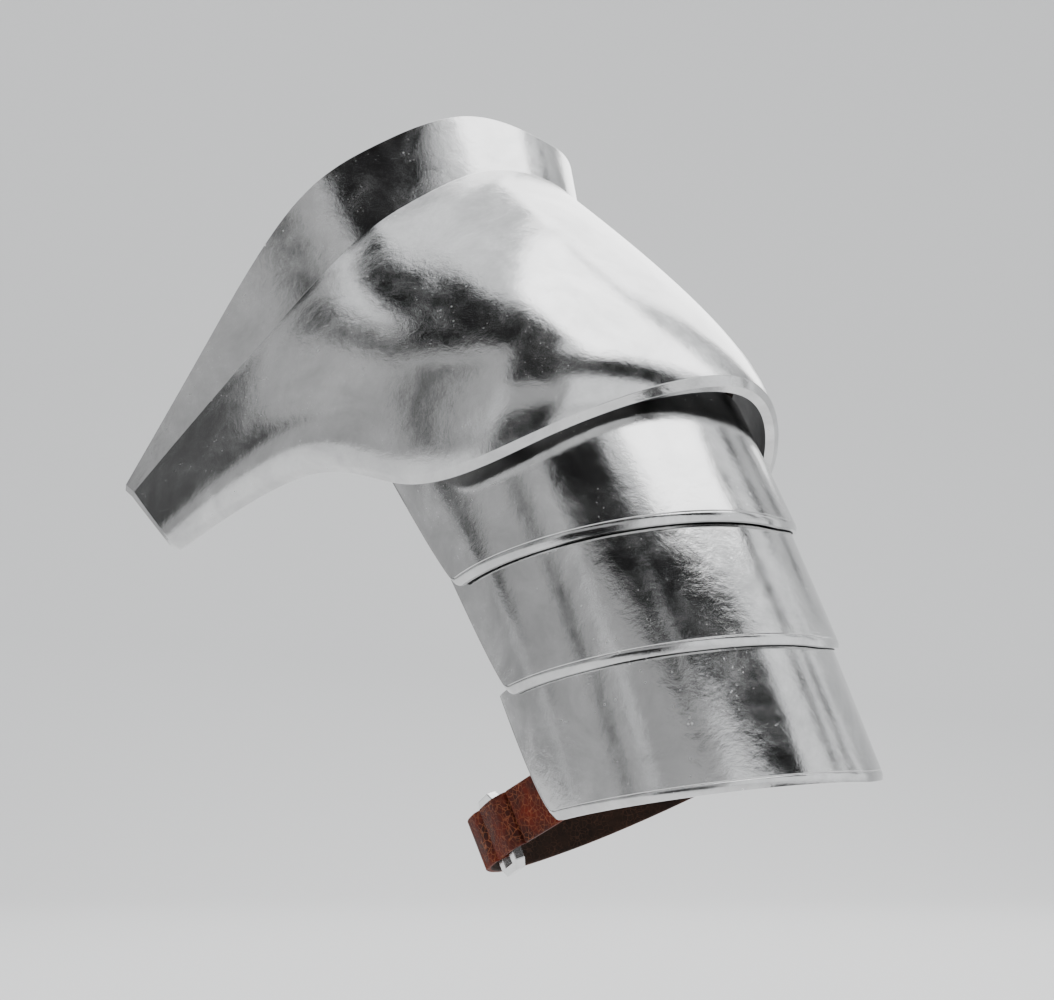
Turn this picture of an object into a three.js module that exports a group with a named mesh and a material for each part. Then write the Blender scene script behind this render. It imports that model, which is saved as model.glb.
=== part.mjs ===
// Left pauldron: a domed shoulder plate with a turned-up neck flange and a wing on the chest,
// three lames that hang below it on inner leathers, and a leather strap with a buckle round the arm.
// Millimetres. +X points out along the arm, -Y to the wearer's front, +Z up.
// The origin is the point under the crown where the plate sits on the shoulder.
import * as THREE from 'three';

// ---------------------------------------------------------------- driving dimensions
const PLATE_WALL = 2.2;          // sheet thickness of the shoulder plate
const RIM_WALL = 4.6;            // thickness at the boxed lower rim
const RIM_START = 0.86;          // where the wall begins to thicken, as a fraction of the way down
const RIM_DROP = 3.6;            // height of the bevelled face below the wall's outside
const RIM_UNDERCUT = 0.25;       // how far that face leans in, as a fraction of its height
const LAME_WALL = 2.0;
const LAME_EDGE_DROP = 2.4;      // height of the bevel along a lame's lower edge
const LAME_EDGE_DEPTH = 0.6;     // how far that bevel leans in
const LAME_EDGE_WALL = 0.8;      // wall left at the bevelled edge, as a fraction of the full wall
const LEATHER_WALL = 2.4;        // strap leather
const INNER_LEATHER_WALL = 1.8;
const CLEARANCE = 0.4;           // gap kept between neighbouring pieces
const STRAP_WIDTH = 20;
const INNER_LEATHER_WIDTH = 16;
const RIVET_RADIUS = 4;
const RIVET_HEIGHT = 1.2;
const RIVET_CLEARANCE = 0.6;     // between a flat head and the bending leather
const ARM_CENTRE = new THREE.Vector3(30, 0, -180);   // a point on the arm, to tell inside from outside

// How finely each piece is divided.
const PLATE_COLUMNS = 48;
const PLATE_ROWS = 12;
const LAME_COLUMNS = 36;
const LAME_ROWS = 4;
const FRONT_STRAP_STEPS = 40;
const BACK_STRAP_STEPS = 44;
const ROLL_STEPS = 8;
const INNER_LEATHER_STEPS = 28;
const RIVET_SIDES = 12;

// The plate is lofted through six stations from the crown (on the front-back symmetry plane)
// to the tip of the wing. Each station gives the free edge of the neck flange, the crease where
// the flange turns up, the bulge half way down the plate, and the lower rim.
const STATIONS = [
  { flange: [-22, 0, 46.5], crease: [-17, 0, 25],
    bulge: [46, 0, -39], rim: [79, 0, -82] },
  { flange: [-33.5, -36, 47.5], crease: [-25.5, -32, 21.5],
    bulge: [35.5, -58, -49], rim: [54.5, -60, -100] },
  { flange: [-59.5, -64, 32], crease: [-45, -57, 4.5],
    bulge: [4, -82, -64], rim: [18.5, -82, -117] },
  { flange: [-88, -85, 4], crease: [-63.5, -76, -18],
    bulge: [-27, -94, -76], rim: [-18, -90, -120.5] },
  { flange: [-127, -97, -52.5], crease: [-106, -92, -61],
    bulge: [-73.5, -101, -91], rim: [-62.5, -95, -112.5] },
  { flange: [-170.5, -101, -104.5], crease: [-165.5, -100, -108.5],
    bulge: [-147, -103, -122.5], rim: [-137, -100, -134] },
];

// A lame is a band of a leaning cone: a ring at its lower edge and one at its upper edge.
// x is the ring's centre, r its outer radius, rise how much higher it stands for each millimetre
// outwards. front is how far it reaches round from straight outwards, in degrees. climb is how
// much the lower edge rises for each degree behind straight outwards, once past its eased start.
const LAME_BACK = 68;            // how far each lame reaches round the back, in degrees
const BACK_CORNER = 16;          // size of the rounded lower back corner, in degrees
const BACK_CORNER_RISE = 0.3;    // its height as a fraction of the lame's
const CLIMB_EASE = 12;           // degrees over which the lower edge bends into its climb
const FRONT_EDGE_BOW = 0.6;      // below 1 the front edge bows forward above its lower corner
const LAMES = [
  { name: 'lame_upper', z: -151.5, height: 50, climb: 0.23,
    low: { x: 17.7, r: 71.0, rise: 0.21, front: 114 }, high: { x: -10, r: 73.0, rise: 0.27, front: 123 } },
  { name: 'lame_middle', z: -193.5, height: 46, climb: 0.16,
    low: { x: 38.3, r: 66.2, rise: 0.18, front: 114 }, high: { x: 16.5, r: 67.6, rise: 0.21, front: 123 } },
  { name: 'lame_lower', z: -238.3, height: 46, climb: 0.11,
    low: { x: 56.2, r: 63.5, rise: 0.15, front: 114 }, high: { x: 38, r: 63.2, rise: 0.18, front: 130 } },
];

// The strap lies in one leaning plane, z = STRAP_Z + STRAP_SLOPE_X x + STRAP_SLOPE_Y y.
const STRAP_Z = -238.1;
const STRAP_SLOPE_X = 0.42;
const STRAP_SLOPE_Y = 0.14;
// Where the front half leaves the inside of the lower lame, and where the back half comes round.
const STRAP_FRONT_ROUTE = [[54, -56.8], [42, -56], [30, -51.8], [18, -47.6]];
const STRAP_BACK_ROUTE = [
  [-34, -22], [-40, -6], [-39, 14], [-29, 36], [-10, 52],
  [14, 60], [42, 60.5], [61, 54], [75, 46.5], [82, 40.5],
];
const BUCKLE_AT = [-13, -36];    // centre of the buckle frame, on the strap's plane
const BUCKLE_TURN = 149;         // direction of the strap there, in degrees from +X
const BUCKLE_LENGTH = 17;        // along the strap
const BUCKLE_WIDTH = 30;         // across the strap
const BUCKLE_LOWER = 1.4;        // how far the frame hangs below the strap's middle
// Route of the strap's tip: how far along from the buckle's centre, and how far short of its full height.
const STRAP_TIP = [[-18.5, 4.6], [-15.5, 2.4], [-12, 0.6], [-6, 0], [0.2, 0]];
// Beyond the far bar: how far along from the bar's centre, and how far inside the roll's full radius.
const FOLDED_END = [[14, 1.4], [7, 0.3]];
const LEAVING_ROLL = [[4, 0], [9, 0.8]];
const BUCKLE_BAR = 4.5;          // the two bars the strap goes round
const BUCKLE_SIDE = 3.2;         // the two sides that join them
const BUCKLE_DEPTH = 4;
const BUCKLE_CORNER = 3;         // length cut off each outer corner
const TONGUE_WIDTH = 3;
const TONGUE_DEPTH = 2;
const TONGUE_GAP = 0.7;          // between the tongue's ends and what they face
const STRAP_RIVETS = { front: 0.07, back: 0.96 };   // fractions along each half of the strap

const STEEL = { color: 0xb4b6b8, roughness: 0.28, metalness: 1.0 };
const LEATHER = { color: 0x5a2818, roughness: 0.7, metalness: 0.0 };
const DARK_LEATHER = { color: 0x2a1c16, roughness: 0.8, metalness: 0.0 };

// ---------------------------------------------------------------- helpers
const vec = (a) => new THREE.Vector3(a[0], a[1], a[2]);
const radians = THREE.MathUtils.degToRad;
const lerp = THREE.MathUtils.lerp;
const range = (n) => Array.from({ length: n + 1 }, (_, i) => i / n);

/** Closed solid between two grids of points of the same size, outer and inner. */
function shell(outer, inner) {
  const rows = outer.length;
  const cols = outer[0].length;
  const position = [...outer.flat(), ...inner.flat()].flatMap((p) => [p.x, p.y, p.z]);
  const index = [];
  const out = (i, j) => i * cols + j;
  const inn = (i, j) => rows * cols + out(i, j);
  const quad = (a, b, c, d) => index.push(a, b, c, a, c, d);
  for (let i = 0; i + 1 < rows; i++) {
    for (let j = 0; j + 1 < cols; j++) {
      quad(out(i, j), out(i, j + 1), out(i + 1, j + 1), out(i + 1, j));
      quad(inn(i, j), inn(i + 1, j), inn(i + 1, j + 1), inn(i, j + 1));
    }
    quad(out(i, 0), out(i + 1, 0), inn(i + 1, 0), inn(i, 0));
    quad(out(i, cols - 1), inn(i, cols - 1), inn(i + 1, cols - 1), out(i + 1, cols - 1));
  }
  for (let j = 0; j + 1 < cols; j++) {
    quad(out(0, j), inn(0, j), inn(0, j + 1), out(0, j + 1));
    quad(out(rows - 1, j), out(rows - 1, j + 1), inn(rows - 1, j + 1), inn(rows - 1, j));
  }
  const geometry = new THREE.BufferGeometry();
  geometry.setAttribute('position', new THREE.Float32BufferAttribute(position, 3));
  geometry.setIndex(index);
  return outward(geometry);
}

/** Turns the faces round if the solid is inside out, and adds normals. */
function outward(geometry) {
  const p = geometry.attributes.position;
  const index = geometry.index.array;
  let volume = 0;
  const corner = (k) => new THREE.Vector3().fromBufferAttribute(p, index[k]);
  for (let k = 0; k < index.length; k += 3) {
    volume += corner(k).dot(corner(k + 1).cross(corner(k + 2)));
  }
  if (volume < 0) {
    for (let k = 0; k < index.length; k += 3) {
      [index[k + 1], index[k + 2]] = [index[k + 2], index[k + 1]];
    }
  }
  geometry.computeVertexNormals();
  return geometry;
}

function mesh(name, geometry, finish) {
  const result = new THREE.Mesh(geometry, new THREE.MeshStandardMaterial({ ...finish, name }));
  result.name = name;
  return result;
}

// ---------------------------------------------------------------- shoulder plate
const mirrored = (points) => [...points.slice(1).reverse().map(([x, y, z]) => [x, -y, z]), ...points];
/** Smooth curve over all stations: 0 is the back wing's tip, 1/2 the crown, 1 the front wing's tip. */
const edge = (key) => new THREE.CatmullRomCurve3(
  mirrored(STATIONS.map((s) => s[key])).map(vec), false, 'catmullrom', 0.5);
const flangeEdge = edge('flange');
const creaseEdge = edge('crease');
const bulgeEdge = edge('bulge');
const rimEdge = edge('rim');

/** Outside of the plate below the crease: an arc from the crease over the bulge to the rim. */
function plateOutside(u, v) {
  const crease = creaseEdge.getPoint(u);
  const rim = rimEdge.getPoint(u);
  const pull = bulgeEdge.getPoint(u).multiplyScalar(2).addScaledVector(crease, -0.5).addScaledVector(rim, -0.5);
  return crease.multiplyScalar((1 - v) ** 2).addScaledVector(pull, 2 * v * (1 - v)).addScaledVector(rim, v * v);
}

const SURFACE_STEP = 0.004;      // step for measuring which way the plate's surface runs
const RIM_STEP = 0.02;           // the same for the wall just above the rim

/** Direction into the plate, square to its outside. */
function plateInward(u, v) {
  const u0 = Math.max(u - SURFACE_STEP, 0);
  const u1 = Math.min(u + SURFACE_STEP, 1);
  const v0 = Math.max(v - SURFACE_STEP, 0);
  const v1 = Math.min(v + SURFACE_STEP, 1);
  const along = plateOutside(u1, v).sub(plateOutside(u0, v));
  const down = plateOutside(u, v1).sub(plateOutside(u, v0));
  return down.cross(along).normalize();
}

function shoulderPlate() {
  const outer = [];
  const inner = [];
  for (const u of range(PLATE_COLUMNS)) {
    const crease = creaseEdge.getPoint(u);
    const top = flangeEdge.getPoint(u);
    const creaseIn = plateInward(u, 0);
    const rise = top.clone().sub(crease).normalize();
    const run = creaseEdge.getTangent(u);
    const flangeIn = rise.clone().cross(run).normalize();
    if (flangeIn.dot(creaseIn) < 0) flangeIn.negate();
    const mitre = flangeIn.clone().add(creaseIn).normalize();
    mitre.multiplyScalar(PLATE_WALL / Math.max(mitre.dot(creaseIn), 0.5));
    const outerRow = [top, top.clone().lerp(crease, 0.5), crease];
    const innerRow = outerRow.map((p) => p.clone().addScaledVector(flangeIn, PLATE_WALL));
    innerRow[2] = crease.clone().add(mitre);
    for (const v of range(PLATE_ROWS).slice(1)) {
      const wall = lerp(PLATE_WALL, RIM_WALL, THREE.MathUtils.smoothstep(v, RIM_START, 1));
      const p = plateOutside(u, v);
      outerRow.push(p);
      innerRow.push(p.clone().addScaledVector(plateInward(u, v), wall));
    }
    const wallIn = plateInward(u, 1);
    const wallDown = plateOutside(u, 1).sub(plateOutside(u, 1 - RIM_STEP)).normalize();
    const drop = wallDown.addScaledVector(wallIn, RIM_UNDERCUT).multiplyScalar(RIM_DROP);
    outerRow.push(outerRow.at(-1).clone().add(drop));
    innerRow.push(innerRow.at(-1).clone().add(drop));
    outer.push(outerRow);
    inner.push(innerRow);
  }
  return shell(outer, inner);
}

// ---------------------------------------------------------------- lames
/** Point on a lame, t = 0 at its lower edge and 1 at its upper edge, depth below its outside. */
function lamePoint(lame, angle, t, depth = 0) {
  const x = lerp(lame.low.x, lame.high.x, t);
  const r = lerp(lame.low.r, lame.high.r, t) - depth;
  const rise = lerp(lame.low.rise, lame.high.rise, t);
  const out = r * Math.cos(angle);
  return new THREE.Vector3(x + out, r * Math.sin(angle), lame.z + lame.height * t + rise * out);
}

function lameShell(lame) {
  const outer = [];
  const inner = [];
  for (const s of range(LAME_COLUMNS)) {
    const backAngle = lerp(LAME_BACK, -lame.low.front, s);
    const corner = THREE.MathUtils.clamp((backAngle - (LAME_BACK - BACK_CORNER)) / BACK_CORNER, 0, 1);
    const behind = Math.max(backAngle, 0);
    const climbed = lame.climb * behind ** 2 / (behind + CLIMB_EASE) / lame.height;
    const low = climbed + BACK_CORNER_RISE * (1 - Math.sqrt(1 - corner * corner));
    const rows = range(LAME_ROWS).map((k) => {
      const t = lerp(low, 1, k);
      const front = lerp(lame.low.front, lame.high.front, t ** FRONT_EDGE_BOW);
      return [radians(lerp(LAME_BACK, -front, s)), t];
    });
    const [lowAngle, lowT] = rows[0];
    const edgeT = lowT - LAME_EDGE_DROP / lame.height;
    const wall = (depth) => rows.map(([angle, t]) => lamePoint(lame, angle, t, depth));
    const edgeInside = LAME_EDGE_DEPTH + LAME_WALL * LAME_EDGE_WALL;
    outer.push([lamePoint(lame, lowAngle, edgeT, LAME_EDGE_DEPTH), ...wall(0)]);
    inner.push([lamePoint(lame, lowAngle, edgeT, edgeInside), ...wall(LAME_WALL)]);
  }
  return shell(outer, inner);
}

// ---------------------------------------------------------------- leather bands
/** A flat band along a route, with one direction for its width. */
function band(route, across, width, thickness) {
  const outer = [];
  const inner = [];
  route.forEach((p, i) => {
    const before = route[Math.max(i - 1, 0)];
    const after = route[Math.min(i + 1, route.length - 1)];
    const tangent = after.clone().sub(before).normalize();
    const normal = tangent.clone().cross(across).normalize().multiplyScalar(thickness / 2);
    const half = across.clone().multiplyScalar(width / 2);
    outer.push([p.clone().add(normal).sub(half), p.clone().add(normal).add(half)]);
    inner.push([p.clone().sub(normal).sub(half), p.clone().sub(normal).add(half)]);
  });
  return shell(outer, inner);
}

// ---------------------------------------------------------------- arm strap and buckle
const onStrapPlane = ([x, y]) => new THREE.Vector3(x, y, STRAP_Z + STRAP_SLOPE_X * x + STRAP_SLOPE_Y * y);
const strapUp = new THREE.Vector3(-STRAP_SLOPE_X, -STRAP_SLOPE_Y, 1).normalize();
const buckleCentre = onStrapPlane(BUCKLE_AT);
const buckleTurn = radians(BUCKLE_TURN);
const buckleAlong = onStrapPlane([BUCKLE_AT[0] + Math.cos(buckleTurn), BUCKLE_AT[1] + Math.sin(buckleTurn)])
  .sub(buckleCentre).normalize();
const buckleOut = strapUp.clone().cross(buckleAlong).normalize();
/** Point beside the buckle's centre: along the strap, and out from the arm. */
const atBuckle = (along, out) => buckleCentre.clone()
  .addScaledVector(buckleAlong, along).addScaledVector(buckleOut, out);

const barCentre = (BUCKLE_LENGTH - BUCKLE_BAR) / 2;
const overFrame = BUCKLE_DEPTH / 2 + CLEARANCE + LEATHER_WALL / 2;
const rollRadius = Math.hypot(BUCKLE_BAR, BUCKLE_DEPTH) / 2 + CLEARANCE + LEATHER_WALL / 2;

const curveThrough = (points) => new THREE.CatmullRomCurve3(points, false, 'catmullrom', 0.5);

/** Front half: from inside the lower lame, up over the near bar, its tip lying on the frame. */
const frontStrapRoute = curveThrough([
  ...STRAP_FRONT_ROUTE.map(onStrapPlane),
  ...STRAP_TIP.map(([along, out]) => atBuckle(along, overFrame - out)),
]);

/** Back half round the arm, from the buckle to the inside of the lower lame. */
const backStrapRoute = curveThrough([
  ...LEAVING_ROLL.map(([along, inside]) => atBuckle(barCentre + along, rollRadius - inside)),
  ...STRAP_BACK_ROUTE.map(onStrapPlane),
]);

/** Back half whole: its folded end lies inside, rolls round the far bar, and the rest goes round the arm. */
function backStrap() {
  const roll = range(ROLL_STEPS).map((k) => {
    const turn = radians(lerp(-90, 90, k));
    return atBuckle(barCentre - rollRadius * Math.cos(turn), rollRadius * Math.sin(turn));
  });
  const foldedEnd = FOLDED_END.map(([along, inside]) => atBuckle(barCentre + along, inside - rollRadius));
  const route = [...foldedEnd, ...roll, ...backStrapRoute.getPoints(BACK_STRAP_STEPS)];
  return band(route, strapUp, STRAP_WIDTH, LEATHER_WALL);
}

/** Rectangular frame, cut from one block: an outline with a window, given its depth and set square. */
function buckleFrame() {
  const outline = new THREE.Shape();
  const halfLength = BUCKLE_LENGTH / 2;
  const halfWidth = BUCKLE_WIDTH / 2;
  outline.moveTo(-halfLength + BUCKLE_CORNER, -halfWidth);
  outline.lineTo(halfLength - BUCKLE_CORNER, -halfWidth);
  outline.lineTo(halfLength, -halfWidth + BUCKLE_CORNER);
  outline.lineTo(halfLength, halfWidth - BUCKLE_CORNER);
  outline.lineTo(halfLength - BUCKLE_CORNER, halfWidth);
  outline.lineTo(-halfLength + BUCKLE_CORNER, halfWidth);
  outline.lineTo(-halfLength, halfWidth - BUCKLE_CORNER);
  outline.lineTo(-halfLength, -halfWidth + BUCKLE_CORNER);
  outline.closePath();
  const window = new THREE.Path();
  const windowLength = halfLength - BUCKLE_BAR;
  const windowWidth = halfWidth - BUCKLE_SIDE;
  window.moveTo(-windowLength, -windowWidth);
  window.lineTo(-windowLength, windowWidth);
  window.lineTo(windowLength, windowWidth);
  window.lineTo(windowLength, -windowWidth);
  window.closePath();
  outline.holes.push(window);
  const geometry = new THREE.ExtrudeGeometry(outline, { depth: BUCKLE_DEPTH, bevelEnabled: false });
  geometry.translate(0, 0, -BUCKLE_DEPTH / 2);
  return geometry;
}

/** Plain pin between the two bars, hidden under the strap's tip. */
function buckleTongue() {
  const rolledStrap = LEATHER_WALL + 2 * CLEARANCE;
  const length = BUCKLE_LENGTH - 2 * BUCKLE_BAR - 2 * TONGUE_GAP - rolledStrap;
  const geometry = new THREE.BoxGeometry(length, TONGUE_WIDTH, TONGUE_DEPTH);
  geometry.translate(-rolledStrap / 2, 0, 0);
  return geometry;
}

function placedAtBuckle(part) {
  part.matrixAutoUpdate = false;
  part.matrix.makeBasis(buckleAlong, strapUp.clone().negate(), buckleOut);
  part.matrix.setPosition(buckleCentre.clone().addScaledVector(strapUp, -BUCKLE_LOWER));
  return part;
}

// ---------------------------------------------------------------- inner leathers and rivets
const LEATHER_ANGLES = { front: -76, middle: -22, back: 28 };   // degrees round each lame
const LEATHER_TOP = { front: [0.70, 0.58], middle: [0.545, 0.6], back: [0.44, 0.6] };
// Stops of a leather from the bottom up: which lame, how far up it, how much further in than elsewhere.
const LEATHER_STOPS = [[2, 0.3, 0], [2, 0.85, 1], [1, 0.4, 0], [1, 0.85, 1], [0, 0.35, 0], [0, 0.9, 2.2]];
const LAME_CLEARANCE = 1.5;      // between a flat leather and the curved lame, at the leather's middle
const PLATE_CLEARANCE = 3.4;     // the same under the plate, which is domed both ways
const TOP_EXTRA = 2.1;           // further in at a lame's upper edge, which the leather bends round
const TOP_LEAD = [0.06, 0.3];    // where a leather comes on to the plate: further down it, and further in
const LEATHER_DEPTH = LAME_WALL + LAME_CLEARANCE + INNER_LEATHER_WALL / 2;

function innerLeather(where) {
  const angle = radians(LEATHER_ANGLES[where]);
  const [u, v] = LEATHER_TOP[where];
  const points = LEATHER_STOPS.map(([lame, t, extra]) =>
    lamePoint(LAMES[lame], angle, t, LEATHER_DEPTH + extra * TOP_EXTRA));
  const onPlate = (depth, down) => plateOutside(u, v + down).addScaledVector(plateInward(u, v + down), depth);
  const plateDepth = PLATE_WALL + PLATE_CLEARANCE + INNER_LEATHER_WALL / 2;
  points.push(onPlate(plateDepth + TOP_LEAD[1], TOP_LEAD[0]), onPlate(plateDepth, 0));
  const across = new THREE.Vector3(-Math.sin(angle), Math.cos(angle), 0);
  return { curve: curveThrough(points), across };
}

const RIVET_PLACES = [0.06, 0.36, 0.64, 0.93];   // fractions along an inner leather, lowest first

/** Flat rivet head on the inner face of a leather band, at a fraction of its length. */
function rivetOn(curve, fraction, across, thickness) {
  const tangent = curve.getTangentAt(fraction);
  const inward = across.clone().cross(tangent).normalize();
  const centre = curve.getPointAt(fraction);
  const toArm = ARM_CENTRE.clone().sub(centre);
  if (inward.dot(toArm) < 0) inward.negate();
  const geometry = new THREE.CylinderGeometry(RIVET_RADIUS, RIVET_RADIUS, RIVET_HEIGHT, RIVET_SIDES);
  geometry.applyQuaternion(new THREE.Quaternion().setFromUnitVectors(new THREE.Vector3(0, 1, 0), inward));
  centre.addScaledVector(inward, (thickness + RIVET_HEIGHT) / 2 + RIVET_CLEARANCE);
  geometry.translate(centre.x, centre.y, centre.z);
  return geometry;
}

// ---------------------------------------------------------------- assembly
const pauldron = new THREE.Group();
pauldron.add(mesh('main_plate', shoulderPlate(), STEEL));
for (const lame of LAMES) {
  pauldron.add(mesh(lame.name, lameShell(lame), STEEL));
}
const frontStrapPoints = frontStrapRoute.getPoints(FRONT_STRAP_STEPS);
pauldron.add(mesh('strap_front', band(frontStrapPoints, strapUp, STRAP_WIDTH, LEATHER_WALL), LEATHER));
pauldron.add(mesh('strap_back', backStrap(), LEATHER));
pauldron.add(placedAtBuckle(mesh('buckle_frame', buckleFrame(), STEEL)));
pauldron.add(placedAtBuckle(mesh('buckle_tongue', buckleTongue(), STEEL)));

const frontRivet = rivetOn(frontStrapRoute, STRAP_RIVETS.front, strapUp, LEATHER_WALL);
const backRivet = rivetOn(backStrapRoute, STRAP_RIVETS.back, strapUp, LEATHER_WALL);
pauldron.add(mesh('rivet_strap_front', frontRivet, STEEL));
pauldron.add(mesh('rivet_strap_back', backRivet, STEEL));

for (const where of Object.keys(LEATHER_ANGLES)) {
  const { curve, across } = innerLeather(where);
  const leather = band(curve.getPoints(INNER_LEATHER_STEPS), across, INNER_LEATHER_WIDTH, INNER_LEATHER_WALL);
  pauldron.add(mesh(`inner_leather_${where}`, leather, DARK_LEATHER));
  RIVET_PLACES.forEach((fraction, i) => {
    pauldron.add(mesh(`rivet_${where}_${i + 1}`, rivetOn(curve, fraction, across, INNER_LEATHER_WALL), STEEL));
  });
}

export default pauldron;
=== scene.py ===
# %% [markdown]
# # A steel pauldron with three lames
#
# A pauldron guards the shoulder in a suit of plate armour. This one is for the left arm. Its main
# plate is domed over the shoulder, turned up along the neck, and drawn out into a wing on the chest
# and another on the back. Three narrower plates, the lames, hang below it round the upper arm. They
# ride on leathers riveted inside, so that they slide over one another when the arm moves. A strap
# with a buckle holds the lowest lame to the arm.
#
# The script builds the pieces one after another, from the largest to the smallest, then gives them
# their finishes and sets them in a plain studio. Every size is in millimetres until a mesh is made,
# and the directions are the wearer's: +X out along the arm, -Y to the front and +Z up. The origin is
# under the crown, where the plate sits on the shoulder.

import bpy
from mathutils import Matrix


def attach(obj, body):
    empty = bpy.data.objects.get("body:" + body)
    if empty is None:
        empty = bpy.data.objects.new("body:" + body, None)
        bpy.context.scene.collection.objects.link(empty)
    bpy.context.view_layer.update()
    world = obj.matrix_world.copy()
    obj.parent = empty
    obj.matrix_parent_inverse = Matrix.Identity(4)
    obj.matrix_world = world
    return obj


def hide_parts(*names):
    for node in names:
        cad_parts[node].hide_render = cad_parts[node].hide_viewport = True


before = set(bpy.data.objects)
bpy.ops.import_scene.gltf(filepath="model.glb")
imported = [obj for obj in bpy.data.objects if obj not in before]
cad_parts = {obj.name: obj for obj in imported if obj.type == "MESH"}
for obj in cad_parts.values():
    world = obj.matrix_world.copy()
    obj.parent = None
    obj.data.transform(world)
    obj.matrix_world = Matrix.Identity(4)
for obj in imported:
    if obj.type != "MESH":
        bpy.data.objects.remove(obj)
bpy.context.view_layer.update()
print("pieces to dress:", len(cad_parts))

# %% tools
import math

import bmesh
import bpy
import numpy as np
from mathutils import Matrix, Vector

MM = 0.001
scene = bpy.context.scene

# %% [markdown]
# ## Small helpers for smooth sheet metal
#
# A curve through measured points can be a chain of cubic pieces that agree in slope only, and then
# polished metal shows a break in its reflections at every point. Here the curve is a natural cubic
# spline, which agrees in curvature too, so a highlight runs across the points without a kink.

# %% curves
def unit(v):
    return v / np.linalg.norm(v, axis=-1, keepdims=True)


def mix(a, b, t):
    return a + (b - a) * t


def ease(x, low, high):
    t = np.clip((x - low) / (high - low), 0, 1)
    return t * t * (3 - 2 * t)


def spline(points, at):
    """Natural cubic spline through evenly numbered points, at the places `at` from 0 to 1."""
    points = np.asarray(points, float)
    last = len(points) - 1
    system = np.eye(last + 1)
    right = np.zeros_like(points)
    for i in range(1, last):
        system[i, i - 1:i + 2] = (1, 4, 1)
        right[i] = 6 * (points[i - 1] - 2 * points[i] + points[i + 1])
    bend = np.linalg.solve(system, right)
    place = np.clip(np.asarray(at, float), 0, 1) * last
    k = np.minimum(place.astype(int), last - 1)
    b = (place - k)[:, None]
    a = 1 - b
    return (a * points[k] + b * points[k + 1]
            + ((a ** 3 - a) * bend[k] + (b ** 3 - b) * bend[k + 1]) / 6)


print("midway on a straight run:", spline([[0, 0, 0], [1, 0, 0], [2, 0, 0]], [0.5])[0])

# %% [markdown]
# Every plate and strap here is a sheet: an outside grid of points, an inside grid of the same size,
# and narrow walls round the four edges. Solidify could thicken a single surface, but then the wall
# could not grow toward a boxed rim, so both sides are given. A fine bevel then breaks each sharp
# corner, as a file does, and that small round is what catches the light along every edge.

# %% sheets
def add_piece(name, mesh, cad_nodes, break_width, break_angle=28):
    piece = bpy.data.objects.new(name, mesh)
    scene.collection.objects.link(piece)
    mesh.shade_smooth()
    mesh.set_sharp_from_angle(angle=math.radians(break_angle))
    if break_width:
        filed = piece.modifiers.new("filed edges", "BEVEL")
        filed.width = break_width * MM
        filed.segments = 2
        filed.limit_method = "ANGLE"
        filed.angle_limit = math.radians(break_angle)
        filed.harden_normals = True
    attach(piece, "root")
    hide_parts(*cad_nodes)
    return piece


def sheet_mesh(name, outside, inside):
    """Closed sheet between two grids of points in millimetres. Inside faces get material 1."""
    outside, inside = np.asarray(outside), np.asarray(inside)
    rows, cols = outside.shape[:2]
    points = np.concatenate([outside.reshape(-1, 3), inside.reshape(-1, 3)]) * MM
    out = np.arange(rows * cols).reshape(rows, cols)
    inn = out + rows * cols

    def quads(a, b, c, d):
        return np.stack([a.ravel(), b.ravel(), c.ravel(), d.ravel()], 1)

    skin = quads(out[:-1, :-1], out[:-1, 1:], out[1:, 1:], out[1:, :-1])
    lining = quads(inn[:-1, :-1], inn[1:, :-1], inn[1:, 1:], inn[:-1, 1:])
    walls = np.concatenate([
        quads(out[:-1, 0], out[1:, 0], inn[1:, 0], inn[:-1, 0]),
        quads(out[:-1, -1], inn[:-1, -1], inn[1:, -1], out[1:, -1]),
        quads(out[0, :-1], inn[0, :-1], inn[0, 1:], out[0, 1:]),
        quads(out[-1, :-1], out[-1, 1:], inn[-1, 1:], inn[-1, :-1]),
    ])
    faces = np.concatenate([skin, walls, lining])
    a, b, c = points[faces[:, 0]], points[faces[:, 1]], points[faces[:, 2]]
    d = points[faces[:, 3]]
    volume = (np.einsum("ij,ij->i", a, np.cross(b, c)) + np.einsum("ij,ij->i", a, np.cross(c, d))).sum()
    if volume < 0:
        faces = faces[:, ::-1]
    mesh = bpy.data.meshes.new(name)
    mesh.from_pydata(points.tolist(), [], faces.tolist())
    material = np.zeros(len(faces), np.int32)
    material[len(skin) + len(walls):] = 1
    mesh.polygons.foreach_set("material_index", material)
    mesh.update()
    return mesh


print("ready to make sheets")

# %% [markdown]
# ## The main plate
#
# The plate is one sheet of steel raised by hammering over stakes. Six stations describe its front
# half, from the crown to the tip of the wing, and the back half mirrors them. At each station four
# points are known: the free edge of the neck flange, the crease where the flange turns up, the bulge
# half way down, and the lower rim. Splines join the stations, and an arc from crease over bulge to
# rim fills each section, which gives the doubly curved dome that a cut and bent sheet cannot have.
#
# The lower rim is boxed: the wall thickens from 2.2 to 4.6 mm, turns under in a bevelled face, and
# ends in a flat underside. The same bevel goes round the cut end of each wing.

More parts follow.
